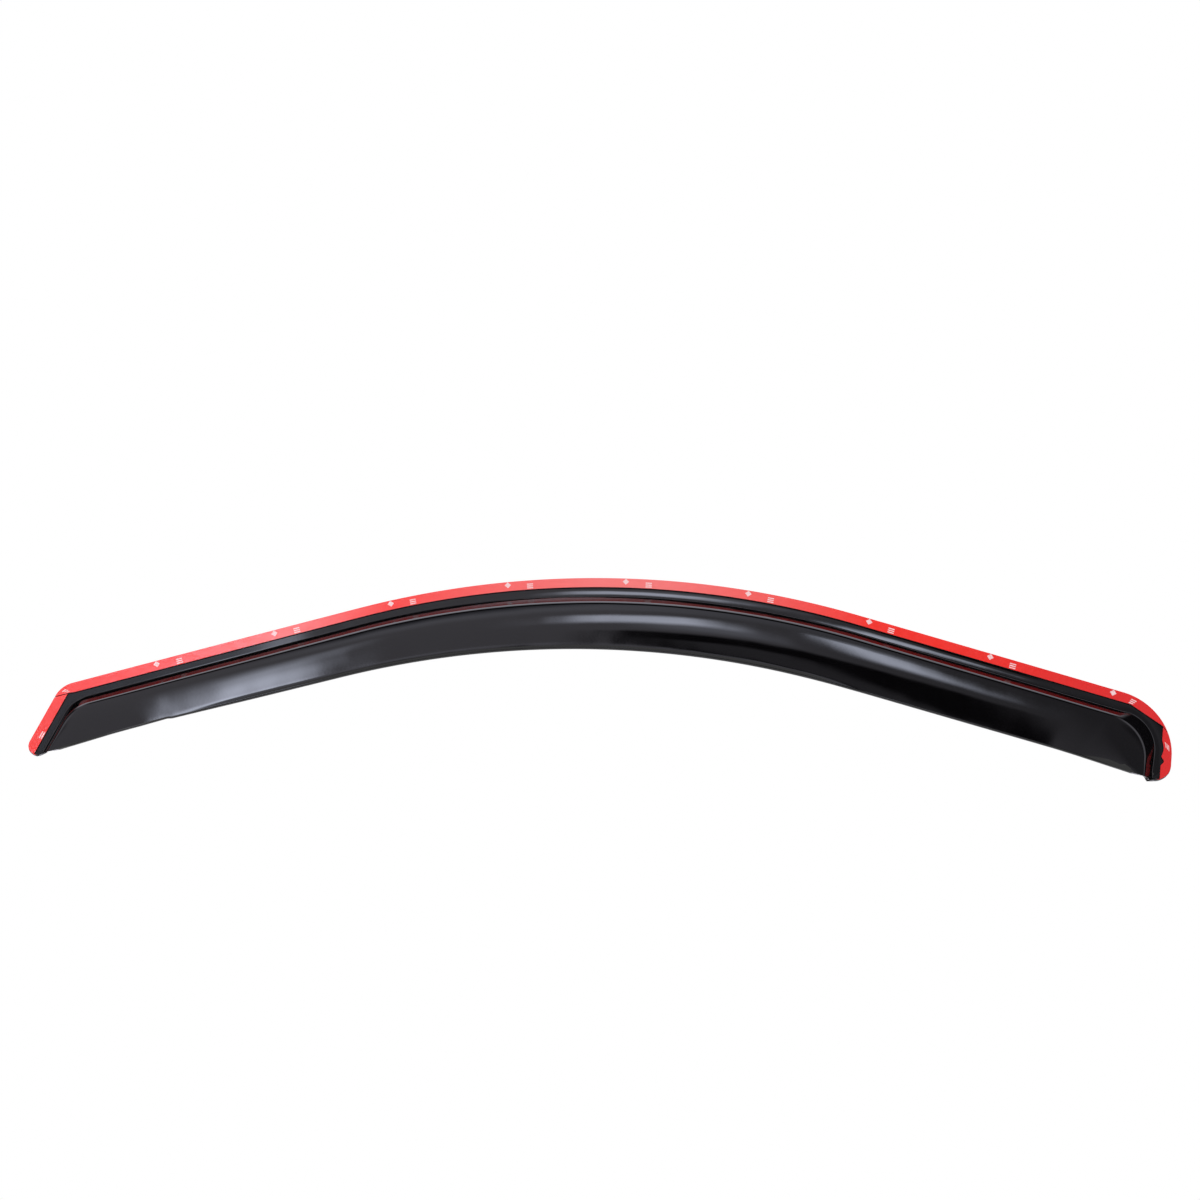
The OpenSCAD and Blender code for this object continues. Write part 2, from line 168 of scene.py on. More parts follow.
def inset(line, width):
    return line[0] - left_of(line[1]) * width, line[1]


def unit(v):
    return v / np.linalg.norm(v, axis=-1, keepdims=True)


def cross(a, b):
    return a[0] * b[1] - a[1] * b[0]


def meet(l, m):
    return l[0] + l[1] * (cross(m[0] - l[0], m[1]) / cross(l[1], m[1]))


def run(a, b, n):
    """n points from a up to, not including, b."""
    a, b = np.asarray(a, float), np.asarray(b, float)
    return [a + (b - a) * k / n for k in range(n)]


def hub(l, m, r):
    """Centre of a fillet of radius r between two lines that turn to the right."""
    return meet(inset(l, r), inset(m, r))


def bearing(line):
    n = left_of(line[1])
    return math.degrees(math.atan2(n[1], n[0]))


def swing(centre, r, start, end, n):
    return [centre + r * direction(start + (end - start) * k / n) for k in range(n)]


def touch(centre, r, line):
    return centre + r * left_of(line[1])


def turn(l, m, r, n):
    return swing(hub(l, m, r), r, bearing(l), bearing(m), n)


def arm_line(radius, x, top, slope, side):
    """Straight arm that leaves a crown arc of that radius, top point and slope."""
    a = math.radians(slope)
    point = np.array([x + side * radius * math.sin(a), top - radius * (1 - math.cos(a))])
    return point, direction(-side * slope)


UP = np.array([0.0, 1.0])
ARM_F = arm_line(CROWN_RADIUS, CROWN_X, EDGE_TOP, FRONT_ARM_SLOPE, -1)
ARM_R = arm_line(CROWN_RADIUS, CROWN_X, EDGE_TOP, REAR_ARM_SLOPE, 1)
FRONT_CORNER = meet(ARM_F, (np.array([FRONT_CORNER_X, 0.0]), UP))
REAR_CORNER = meet(ARM_R, (np.array([REAR_CORNER_X, 0.0]), UP))
END_F = (FRONT_CORNER, direction(FRONT_END_SLOPE))
END_R = (REAR_CORNER, direction(-REAR_END_SLOPE))
INNER_END_R = (REAR_CORNER, direction(-REAR_RIDGE_SLOPE))
CUT_F = (FRONT_CORNER - UP * FRONT_END_DROP, np.array([-1.0, 0.0]))
CUT_R = (REAR_CORNER - UP * REAR_END_DROP, np.array([-1.0, 0.0]))
LOWER_F = arm_line(LOWER_CROWN_RADIUS, LOWER_CROWN_X, -LOWER_CROWN_DEPTH, LOWER_FRONT_SLOPE, -1)
LOWER_R = arm_line(LOWER_CROWN_RADIUS, LOWER_CROWN_X, -LOWER_CROWN_DEPTH, LOWER_REAR_SLOPE, 1)
FOOT_F = meet(LOWER_F, inset(END_F, RIDGE_FRONT_END))
FOOT_R = meet(LOWER_R, inset(INNER_END_R, RIDGE_REAR_END))


def edge_rail():
    """The flange's outer edge in plan, one point for each station."""
    tip_f = hub(CUT_F, END_F, FRONT_TIP_RADIUS)
    tip_r = hub(END_R, CUT_R, REAR_TIP_RADIUS)
    corner_f = hub(END_F, ARM_F, FRONT_CORNER_RADIUS)
    corner_r = hub(ARM_R, END_R, REAR_CORNER_RADIUS)
    crown = hub(ARM_F, ARM_R, CROWN_RADIUS)
    return np.array(
        swing(tip_f, FRONT_TIP_RADIUS, -90, bearing(END_F) - 360, N_TIP)
        + run(touch(tip_f, FRONT_TIP_RADIUS, END_F), touch(corner_f, FRONT_CORNER_RADIUS, END_F), N_END)
        + turn(END_F, ARM_F, FRONT_CORNER_RADIUS, N_FRONT_CORNER)
        + run(touch(corner_f, FRONT_CORNER_RADIUS, ARM_F), touch(crown, CROWN_RADIUS, ARM_F), N_ARM)
        + turn(ARM_F, ARM_R, CROWN_RADIUS, N_CROWN)
        + run(touch(crown, CROWN_RADIUS, ARM_R), touch(corner_r, REAR_CORNER_RADIUS, ARM_R), N_ARM)
        + turn(ARM_R, END_R, REAR_CORNER_RADIUS, N_REAR_CORNER)
        + run(touch(corner_r, REAR_CORNER_RADIUS, END_R), touch(tip_r, REAR_TIP_RADIUS, END_R), N_END)
        + swing(tip_r, REAR_TIP_RADIUS, bearing(END_R), -90, N_TIP)
        + [tip_r - UP * REAR_TIP_RADIUS])


def inner_rail(widths, radii, rises):
    """The crease or the ridge in plan: widths in from the flange edge at the front end,
    front arm, rear arm and rear end, then the corner and crown radii."""
    ef, af = inset(END_F, widths[0]), inset(ARM_F, widths[1])
    ar, er = inset(ARM_R, widths[2]), inset(INNER_END_R, widths[3])
    front, crown, rear = radii
    first = meet(inset(CUT_F, rises[0]), ef)
    last = meet(inset(CUT_R, rises[1]), er)
    corner_f, corner_r, middle = hub(ef, af, front), hub(ar, er, rear), hub(af, ar, crown)
    return np.array(
        run(first, first + ef[1] * TIP_CREEP, N_TIP)
        + run(first + ef[1] * TIP_CREEP, touch(corner_f, front, ef), N_END)
        + turn(ef, af, front, N_FRONT_CORNER)
        + run(touch(corner_f, front, af), touch(middle, crown, af), N_ARM)
        + turn(af, ar, crown, N_CROWN)
        + run(touch(middle, crown, ar), touch(corner_r, rear, ar), N_ARM)
        + turn(ar, er, rear, N_REAR_CORNER)
        + run(touch(corner_r, rear, er), last - er[1] * TIP_CREEP, N_END)
        + run(last - er[1] * TIP_CREEP, last, N_TIP)
        + [last])


def lower_rail(tip_f, tip_r):
    """The lower edge in plan, whose first and last stretches lead to the ends of the ridge."""
    b = FOOT_F + LOWER_F[1] * FAN_FRONT
    c = FOOT_R - LOWER_R[1] * FAN_REAR
    u, w = unit(b - tip_f), unit(c - tip_r)
    a, d = tip_f + u * CORNER_START, tip_r + w * CORNER_START
    middle = hub(LOWER_F, LOWER_R, LOWER_CROWN_RADIUS)
    rail = np.array(
        run(a, a + u * TIP_CREEP, N_TIP)
        + run(a + u * TIP_CREEP, b, N_END + N_FRONT_CORNER)
        + run(b, touch(middle, LOWER_CROWN_RADIUS, LOWER_F), N_ARM)
        + turn(LOWER_F, LOWER_R, LOWER_CROWN_RADIUS, N_CROWN)
        + run(touch(middle, LOWER_CROWN_RADIUS, LOWER_R), c, N_ARM)
        + run(c, d + w * TIP_CREEP, N_REAR_CORNER + N_END)
        + run(d + w * TIP_CREEP, d, N_TIP)
        + [d])
    into_nick = 1 - (NICK_X - rail[:, 0]) / NICK_LENGTH
    rail[:, 1] += NICK_DEPTH * np.where(rail[:, 0] > NICK_X, 0, np.clip(into_nick, 0, 1))
    return rail


EDGE = edge_rail()
CREASE = inner_rail((FLANGE_FRONT_END, FLANGE_FRONT, FLANGE_REAR, FLANGE_REAR_END),
                    (CREASE_FRONT_RADIUS, CREASE_CROWN_RADIUS, CREASE_REAR_RADIUS),
                    (FRONT_CUT_RISE, REAR_CUT_RISE))
RIDGE = inner_rail((RIDGE_FRONT_END, RIDGE_FRONT, RIDGE_REAR, RIDGE_REAR_END),
                   (RIDGE_FRONT_RADIUS, RIDGE_CROWN_RADIUS, RIDGE_REAR_RADIUS), (0, 0))
BASE = lower_rail(RIDGE[0], RIDGE[-1])
FACE_WIDTH = np.linalg.norm(RIDGE - BASE, axis=1)


# From plan to space
def glass(z):
    """Depth of the door glass's curve at height z: an arc that runs on straight lower down."""
    z = np.asarray(z, float)
    deep = STRAIGHT_FROM ** 2 / (2 * GLASS_RADIUS) - (z + STRAIGHT_FROM) * STRAIGHT_FROM / GLASS_RADIUS
    return np.where(z > -STRAIGHT_FROM, z * z / (2 * GLASS_RADIUS), deep)


def lift(plan, height):
    """Plan points raised outward by height from the flange's outward side."""
    height = np.broadcast_to(height, plan.shape[:1])
    return np.stack([plan[:, 0], FLANGE_Y + glass(plan[:, 1]) - height, plan[:, 1]], 1)


def ease(t):
    t = np.clip(t, 0, 1)
    return t * t * (3 - 2 * t)


STEP_CHANGE = ease((RIDGE[:, 0] - STEP_CHANGE_X) / STEP_CHANGE_LENGTH)
STEP_HEIGHT = FRONT_STEP_HEIGHT + (REAR_STEP_HEIGHT - FRONT_STEP_HEIGHT) * STEP_CHANGE
FROM_FEET = np.minimum(np.linalg.norm(BASE - FOOT_F, axis=1), np.linalg.norm(BASE - FOOT_R, axis=1))
EDGE_HEIGHT = STEP_HEIGHT + (LOWER_EDGE_HEIGHT - STEP_HEIGHT) * ease(FROM_FEET / RISE_LENGTH)
LIP = np.minimum(LIP_WIDTH, LIP_SHARE * FACE_WIDTH)
LIP_COMES = ease((BASE[:, 0] - LIP_FRONT_X) / LIP_RUN_IN)
LIP_GOES = ease((BASE[:, 0] - LIP_REAR_X) / LIP_RUN_OUT)
CURL = LIP_DROP * (LIP / LIP_WIDTH) * LIP_COMES * (1 - LIP_GOES)


def face_point(v):
    """Points of the face at shares v of the way from ridge to lower edge, one per station."""
    v = np.broadcast_to(v, FACE_WIDTH.shape)
    share = FACE_WIDTH / FACE_WIDTH[len(FACE_WIDTH) // 2]
    into_lip = np.clip(1 - (1 - v) * FACE_WIDTH / LIP, 0, 1)
    height = (STEP_HEIGHT + (EDGE_HEIGHT - STEP_HEIGHT) * v
              + FACE_BELLY * share * 4 * v * (1 - v) - CURL * into_lip ** 2)
    return lift(RIDGE + (BASE - RIDGE) * v[:, None], height)


def bend(a, v, b, r, skin, n):
    """Fillet in n steps about corners v between a and b, placed by radius r and drawn at
    radius skin, and the normals into it at b's end."""
    u, w = unit(a - v), unit(b - v)
    middle, side = unit(u + w), unit(w - u)
    half = np.arccos(np.clip(-(u * w).sum(1), -1, 1)) / 2
    centre = v + middle * (r / np.cos(half))[:, None]
    angles = [half * (2 * k / n - 1) for k in range(n + 1)]
    points = [centre - middle * (skin * np.cos(t))[:, None] + side * (skin * np.sin(t))[:, None]
              for t in angles]
    normal = unit(middle * np.cos(half)[:, None] - side * np.sin(half)[:, None])
    return points, normal


INWARD = np.array([0.0, 1.0, 0.0])


def bow(a, b, through, n):
    """n - 1 points between a and b on the parabola that leaves both towards the same point."""
    shares = [k / n for k in range(1, n)]
    return [a * (1 - t) ** 2 + through * (2 * t * (1 - t)) + b * t * t for t in shares]


def section_columns():
    """(outer skin, inner skin), each with one row per station and one column across."""
    e, r, f = lift(EDGE, 0), lift(RIDGE, STEP_HEIGHT), face_point(FIRST_FACE)
    # Beside the strips the flange turns outward on a soft curve, up to the crease
    flange_width = np.linalg.norm(CREASE - EDGE, axis=1)
    curve_in = ease((EDGE[:, 0] - CURVE_FROM_X) / CURVE_RUN_IN)
    rise = (flange_width - STRIP_IN) ** 2 / (2 * FLANGE_CURVE) * curve_in
    c = lift(CREASE + (RIDGE - CREASE) * (rise / STEP_HEIGHT)[:, None], rise)
    hollow = (c + r) / 2 + INWARD * STEP_HOLLOW
    beside = EDGE + (CREASE - EDGE) * (STRIP_IN / flange_width)[:, None]
    knee = lift((beside + CREASE) / 2, 0)
    widest_bend = np.minimum(RIDGE_BEND, RIDGE_BEND_SHARE * FACE_WIDTH)
    ridge_bend = np.maximum(SHEET + LEAST_INNER_BEND, widest_bend)
    outer_crease, _ = bend(knee, c, hollow, CREASE_BEND, CREASE_BEND, N_CREASE)
    inner_crease, _ = bend(e, c, hollow, CREASE_BEND, CREASE_BEND + SHEET, N_CREASE)
    outer_ridge, normal = bend(hollow, r, f, ridge_bend, ridge_bend, N_RIDGE)
    inner_ridge, _ = bend(hollow, r, f, ridge_bend, ridge_bend - SHEET, N_RIDGE)
    flange = [e, lift(beside, 0)] + bow(lift(beside, 0), outer_crease[0], knee, N_FLANGE - 1)
    flat = [e + (outer_crease[0] - e) * k / N_FLANGE for k in range(N_FLANGE)]
    lip_from = 1 - LIP / FACE_WIDTH
    shares = [FIRST_FACE + (lip_from - FIRST_FACE) * k / N_FACE for k in range(N_FACE)]
    shares += [lip_from + (1 - lip_from) * k / N_LIP for k in range(N_LIP + 1)]
    face = [face_point(v) for v in shares]
    # The way through the sheet turns from the ridge's normal to straight inward
    turned = [ease(np.broadcast_to(v / TURNED_BY, FACE_WIDTH.shape))[:, None] for v in shares]
    way = [unit(normal * (1 - t) + INWARD * t) for t in turned]
    outer_step = bow(outer_crease[-1], outer_ridge[0], hollow, N_STEP)
    mid_step = (inner_crease[-1] + inner_ridge[0]) / 2
    inner_step = bow(inner_crease[-1], inner_ridge[0], mid_step, N_STEP)
    outer = flange + outer_crease + outer_step + outer_ridge + face
    inner = ([p + INWARD * SHEET for p in flat] + inner_crease + inner_step
             + inner_ridge + [p + w * SHEET for p, w in zip(face, way)])
    return np.stack(outer, 1), np.stack(inner, 1)


def rim(outer_edge, inner_edge, into):
    """Rounded rim between the skins' edges: points from the outer skin to the inner one."""
    through = unit(inner_edge - outer_edge)
    first = outer_edge + (into + through) * EDGE_ROUND
    second = inner_edge + (into - through) * EDGE_ROUND
    quarter = [math.pi / 2 * k / N_ROUND for k in range(N_ROUND + 1)]
    arms = [(EDGE_ROUND * math.cos(t), EDGE_ROUND * math.sin(t)) for t in quarter]
    return ([first - through * c - into * s for c, s in arms]
            + [second - into * c + through * s for c, s in arms])


def shell_rings():
    """Closed section loops, one row per station, each point's way to mid-sheet, and the
    number of points in each rim."""
    outer, inner = section_columns()
    top_into = unit(outer[:, 1] - outer[:, 0])
    low_into = unit(outer[:, -2] - outer[:, -1])
    top = rim(outer[:, 0], inner[:, 0], top_into)
    low = rim(outer[:, -1], inner[:, -1], low_into)
    loop = top[::-1] + [outer[:, j] for j in range(1, outer.shape[1] - 1)]
    loop += low + [inner[:, j] for j in range(inner.shape[1] - 2, 0, -1)]
    through = unit(inner - outer)
    n_rim = len(top)
    mid_top = (outer[:, 0] + inner[:, 0]) / 2 + top_into * EDGE_ROUND * 2
    mid_low = (outer[:, -1] + inner[:, -1]) / 2 + low_into * EDGE_ROUND * 2
    ways = [unit(mid_top - p) for p in top[::-1]]
    ways += [through[:, j] for j in range(1, outer.shape[1] - 1)]
    ways += [unit(mid_low - p) for p in low]
    ways += [-through[:, j] for j in range(inner.shape[1] - 2, 0, -1)]
    return np.stack(loop, 1), np.stack(ways, 1), n_rim


def round_ends(loops, ways):
    """Rounds the two cut ends by drawing the loops in towards mid-sheet near them."""
    shaped = loops.copy()
    for end in (0, -1):
        away = np.linalg.norm(loops - loops[end], axis=2)
        gap = np.clip(EDGE_ROUND - away, 0, EDGE_ROUND)
        drawn = EDGE_ROUND - np.sqrt(EDGE_ROUND ** 2 - gap ** 2)
        shaped += ways * drawn[:, :, None]
    return shaped


def mesh_object(name, points, faces, material, smooth=True):
    mesh = bpy.data.meshes.new(name)
    mesh.from_pydata([tuple(p) for p in points], [], [tuple(f) for f in faces])
    mesh.validate()
    if smooth:
        mesh.shade_smooth()
    else:
        mesh.shade_flat()
    mesh.materials.append(material)
    ob = bpy.data.objects.new(name, mesh)
    bpy.context.scene.collection.objects.link(ob)
    return ob


def tube_faces(n, m):
    """Quads between n closed rows of m points."""
    return [(i * m + j, i * m + (j + 1) % m, (i + 1) * m + (j + 1) % m, (i + 1) * m + j)
            for i in range(n - 1) for j in range(m)]


def two_ends(n, m):
    """For the first and the last of n rows of m points: the number of its first point, and
    whether the faces that close it are turned round."""
    return (0, False), ((n - 1) * m, True)


# The flange's front stretch is left matt by the primer, up to this x and fading out from it
PRIMED_TO_X = -330.0
PRIMED_FADE = 90.0
PRIMED_ROUGHNESS = 0.18          # added to the polished sheet's
SHEEN, PRIMED_SHEEN = 0.5, 0.2   # specular level of the polished and the primed sheet


def make_shell(material):
    loops, ways, n_rim = shell_rings()
    loops = round_ends(loops, ways)
    n, m = loops.shape[:2]
    faces = tube_faces(n, m)
    # Each end is closed across the sheet, pairing the two skins' columns
    half = n_rim // 2
    for start, flip in two_ends(n, m):
        for j in range(m // 2 - 1):
            a = start + (half + j) % m
            b = start + (half + j + 1) % m
            c = start + (half - 2 - j) % m
            d = start + (half - 1 - j) % m
            quad = (a, b, c, d)
            faces.append(quad[::-1] if flip else quad)
    points = loops.reshape(-1, 3) * MM
    ob = mesh_object("smoked_shell", points, faces, material)
    primed = np.zeros((n, m))
    flange = slice(n_rim, n_rim + N_FLANGE)
    primed[:, flange] = 1 - ease((loops[:, flange, 0] - PRIMED_TO_X) / PRIMED_FADE)
    attribute = ob.data.attributes.new("primed", "FLOAT", "POINT")
    attribute.data.foreach_set("value", primed.astype(np.float32).ravel())
    return ob


# Bonding strips
TAPE_ARM_F, TAPE_ARM_R = inset(ARM_F, STRIP_IN), inset(ARM_R, STRIP_IN)
TAPE_END_F, TAPE_END_R = inset(END_F, STRIP_IN), inset(END_R, STRIP_IN)
OUT_ARM_F, OUT_ARM_R = inset(ARM_F, STRIP_MARGIN), inset(ARM_R, STRIP_MARGIN)
OUT_END_F, OUT_END_R = inset(END_F, STRIP_MARGIN), inset(END_R, STRIP_MARGIN)
R_FRONT_OUT = FRONT_CORNER_RADIUS - STRIP_MARGIN
R_CROWN_OUT = CROWN_RADIUS - STRIP_MARGIN
R_CROWN_IN = CROWN_RADIUS - STRIP_IN
R_REAR_OUT = REAR_CORNER_RADIUS - STRIP_MARGIN
INNER_FRONT_CORNER = meet(TAPE_END_F, TAPE_ARM_F)
# Here alone: the front joint runs on along the arm
JOINT_F_OUT = meet((INNER_FRONT_CORNER, ARM_F[1]), OUT_END_F)
REAR_HUB = hub(OUT_ARM_R, OUT_END_R, R_REAR_OUT)
JOINT_R_OUT = REAR_HUB + direction(REAR_JOINT_ANGLE) * R_REAR_OUT
TURN_R_A = meet(TAPE_ARM_R, (np.array([REAR_TURN_X, 0.0]), UP))
TURN_R_B = meet((TURN_R_A, direction(-REAR_TURN_SLOPE)), TAPE_END_R)
LEAD = 6.0   # of the long strip's inner edge, while its outer edge rounds the front corner
N_FINE = 3 * FINE
# Here alone: bites of the rear strip's trimmed edge, each with its place from the strip's
# top, its depth and half its width
REAR_BITES = ((20.0, 1.7, 9.0), (31.5, 2.6, 4.5))


def long_edges():
    corner = hub(OUT_END_F, OUT_ARM_F, R_FRONT_OUT)
    crown = hub(OUT_ARM_F, OUT_ARM_R, R_CROWN_OUT)
    inner_crown = hub(TAPE_ARM_F, TAPE_ARM_R, R_CROWN_IN)
    outer = (run(JOINT_F_OUT + END_F[1] * STRIP_GAP, touch(corner, R_FRONT_OUT, OUT_END_F), FINE)
             + turn(OUT_END_F, OUT_ARM_F, R_FRONT_OUT, N_FRONT_CORNER)
             + run(touch(corner, R_FRONT_OUT, OUT_ARM_F), touch(crown, R_CROWN_OUT, OUT_ARM_F), N_ARM)
             + turn(OUT_ARM_F, OUT_ARM_R, R_CROWN_OUT, N_CROWN)
             + run(touch(crown, R_CROWN_OUT, OUT_ARM_R), touch(REAR_HUB, R_REAR_OUT, OUT_ARM_R), N_ARM)
             + swing(REAR_HUB, R_REAR_OUT, bearing(ARM_R), REAR_JOINT_ANGLE, N_REAR_CORNER)
             + [JOINT_R_OUT])
    c0 = INNER_FRONT_CORNER + END_F[1] * STRIP_GAP
    c1 = INNER_FRONT_CORNER + ARM_F[1] * (STRIP_GAP + LEAD)
    knee = touch(REAR_HUB, R_REAR_OUT, OUT_ARM_R) - left_of(ARM_R[1]) * STRIP_WIDTH
    inner = (run(c0, c1, N_FRONT_CORNER + FINE)
             + run(c1, touch(inner_crown, R_CROWN_IN, TAPE_ARM_F), N_ARM)
             + turn(TAPE_ARM_F, TAPE_ARM_R, R_CROWN_IN, N_CROWN)
             + run(touch(inner_crown, R_CROWN_IN, TAPE_ARM_R), knee, N_ARM)
             + run(knee, TURN_R_A, N_FINE)
             + run(TURN_R_A, TURN_R_B, N_REAR_CORNER - N_FINE)
             + [TURN_R_B])
    return np.array(outer), np.array(inner)


def front_edges():
    cut = inset(CUT_F, STRIP_MARGIN)
    radius = FRONT_TIP_RADIUS - STRIP_MARGIN
    centre = hub(cut, OUT_END_F, radius)
    outer = (swing(centre, radius, -90, bearing(END_F) - 360, N_TIP)
             + run(touch(centre, radius, OUT_END_F), JOINT_F_OUT, N_END) + [JOINT_F_OUT])
    low = meet(cut, TAPE_END_F)
    inner = (run(low, low + END_F[1] * TIP_CREEP, N_TIP)
             + run(low + END_F[1] * TIP_CREEP, INNER_FRONT_CORNER, N_END) + [INNER_FRONT_CORNER])
    return np.array(outer), np.array(inner)


def trimmed(points, outward):
    """Inner edge of the rear strip with the shallow bites of its hand trimming."""
    from_top = np.linalg.norm(points - points[0], axis=1)
    depth = 0 * from_top
    for place, deep, half in REAR_BITES:
        depth += deep * np.clip(1 - ((from_top - place) / half) ** 2, 0, 1) ** 2
    return points + outward * depth[:, None]


def rear_edges():
    cut = inset(CUT_R, STRIP_MARGIN)
    radius = REAR_TIP_RADIUS - STRIP_MARGIN
    centre = hub(OUT_END_R, cut, radius)
    gap_angle = math.degrees(STRIP_GAP / R_REAR_OUT)
    outer = (swing(REAR_HUB, R_REAR_OUT, REAR_JOINT_ANGLE - gap_angle, bearing(END_R), N_FINE)
             + run(touch(REAR_HUB, R_REAR_OUT, OUT_END_R), touch(centre, radius, OUT_END_R), N_END)
             + swing(centre, radius, bearing(END_R), -90, N_TIP) + [centre - UP * radius])
    top = TURN_R_B + END_R[1] * STRIP_GAP
    low = meet(cut, TAPE_END_R)
    inner = (run(top, low - END_R[1] * TIP_CREEP, N_FINE + N_END)
             + run(low - END_R[1] * TIP_CREEP, low, N_TIP) + [low])
    return np.array(outer), trimmed(np.array(inner), left_of(END_R[1]))


MARK_X = 32.5            # where one diamond of the long film sits
MARK_PITCH = 107.0
MARK_STRETCH = 0.961     # behind that diamond the film was laid with some stretch
FRONT_MARK_START = 6.0   # along the short films, and across the front one
REAR_MARK_START = -4.0
FRONT_MARK_SHIFT = 2.4
N_ACROSS = 6             # steps across a strip


def make_strip(name, edges, y0, thickness, material, mark_start=None, mark_shift=0.0):
    """Strip on the glass curve between two plan edges, with its outward face at depth y0.

    Its strip_place attribute says how far along and across the strip a point is, counted
    from where the marks start.
    """
    outer, inner = edges
    n = len(outer)
    along = np.concatenate([[0], np.cumsum(np.linalg.norm(np.diff(outer, axis=0), axis=1))])
    rows, places = [], []
    for front, steps in ((True, range(N_ACROSS + 1)), (False, range(N_ACROSS, -1, -1))):
        for k in steps:
            t = k / N_ACROSS
            plan = outer + (inner - outer) * t
            y = y0 + glass(plan[:, 1]) + (0 if front else thickness)
            rows.append(np.stack([plan[:, 0], y, plan[:, 1]], 1))
            across = np.linalg.norm(inner - outer, axis=1) * t
            places.append(np.stack([along, across, 0 * along], 1))
    points = np.stack(rows, 1)
    m = points.shape[1]
    faces = tube_faces(n, m)
    for start, flip in two_ends(n, m):
        for j in range(N_ACROSS):
            quad = (start + j, start + m - 1 - j, start + m - 2 - j, start + j + 1)
            faces.append(quad[::-1] if flip else quad)
    ob = mesh_object(name, points.reshape(-1, 3) * MM, faces, material, smooth=False)
    place = np.stack(places, 1).reshape(-1, 3)
    if mark_start is not None:
        place[:, 0] -= mark_start(along, outer)
        place[:, 0] *= np.where(place[:, 0] > 0, MARK_STRETCH, 1)
        place[:, 1] -= mark_shift
    attribute = ob.data.attributes.new("strip_place", "FLOAT_VECTOR", "POINT")
    attribute.data.foreach_set("vector", (place * MM).astype(np.float32).ravel())
    return ob


def arc_at_x(x):
    """Where marks start: the way along the strip's outer edge to this x."""
    return lambda along, outer: float(np.interp(x, outer[:, 0], along))


def arc_from_end(distance):
    """Where marks start: this way along from the strip's first end."""
    return lambda along, outer: float(distance)


# Materials
def new_material(name):
    material = bpy.data.materials.new(name)
    material.use_nodes = True
    nodes, links = material.node_tree.nodes, material.node_tree.links
    return material, nodes, links, nodes["Principled BSDF"]


def noise(nodes, links, source, scale, detail=2.0):
    node = nodes.new("ShaderNodeTexNoise")
    node.inputs["Scale"].default_value = scale
    node.inputs["Detail"].default_value = detail
    links.new(source, node.inputs["Vector"])
    return node.outputs["Fac"]


def ramp(nodes, links, source, low, high, a, b):
    node = nodes.new("ShaderNodeMapRange")
    node.inputs["From Min"].default_value = low
    node.inputs["From Max"].default_value = high
    node.inputs["To Min"].default_value = a
    node.inputs["To Max"].default_value = b
    links.new(source, node.inputs["Value"])
    return node.outputs["Result"]


def math_node(nodes, links, operation, a, b=None):
    node = nodes.new("ShaderNodeMath")
    node.operation = operation
    for socket, value in zip(node.inputs, (a, b)):
        if value is None:
            continue
        if isinstance(value, (int, float)):
            socket.default_value = value
        else:
            links.new(value, socket)
    return node.outputs[0]


def short_op(nodes, links):
    """math_node for one node tree, which needn't be named again."""
    return lambda operation, a, b=None: math_node(nodes, links, operation, a, b)


def colour_mix(nodes, links, fac, a, b):
    node = nodes.new("ShaderNodeMix")
    node.data_type = "RGBA"
    for socket, value in ((node.inputs["Factor"], fac), (node.inputs[6], a), (node.inputs[7], b)):
        if isinstance(value, (tuple, float, int)):
            socket.default_value = value
        else:
            links.new(value, socket)
    return node.outputs[2]


def bump(nodes, links, height, distance, strength=1.0, normal=None):
    node = nodes.new("ShaderNodeBump")
    node.inputs["Distance"].default_value = distance
    node.inputs["Strength"].default_value = strength
    links.new(height, node.inputs["Height"])
    if normal is not None:
        links.new(normal, node.inputs["Normal"])
    return node.outputs["Normal"]


# Noise scales are in cycles per metre, and reliefs in metres. A range is that of the noise
# over which the look changes.
CLOUD_SCALE = 9.0
CLOUD_TINTS = ((0.0008, 0.0007, 0.0010, 1), (0.0018, 0.0015, 0.0019, 1))
DUST_SCALE = 2600.0
DUST_RANGE = (0.80, 0.86)
DUST_SHARE = 0.35
DUST_COLOUR = (0.20, 0.20, 0.22, 1)
SMEAR_SCALE = 28.0
SMEAR_RANGE = (0.35, 0.75)
POLISH = (0.045, 0.10)
FLOW_SCALE = 22.0
FLOW_RELIEF = 0.00025
PEEL_SCALE = 420.0
PEEL_RELIEF = 0.000004
ACRYLIC_IOR = 1.49


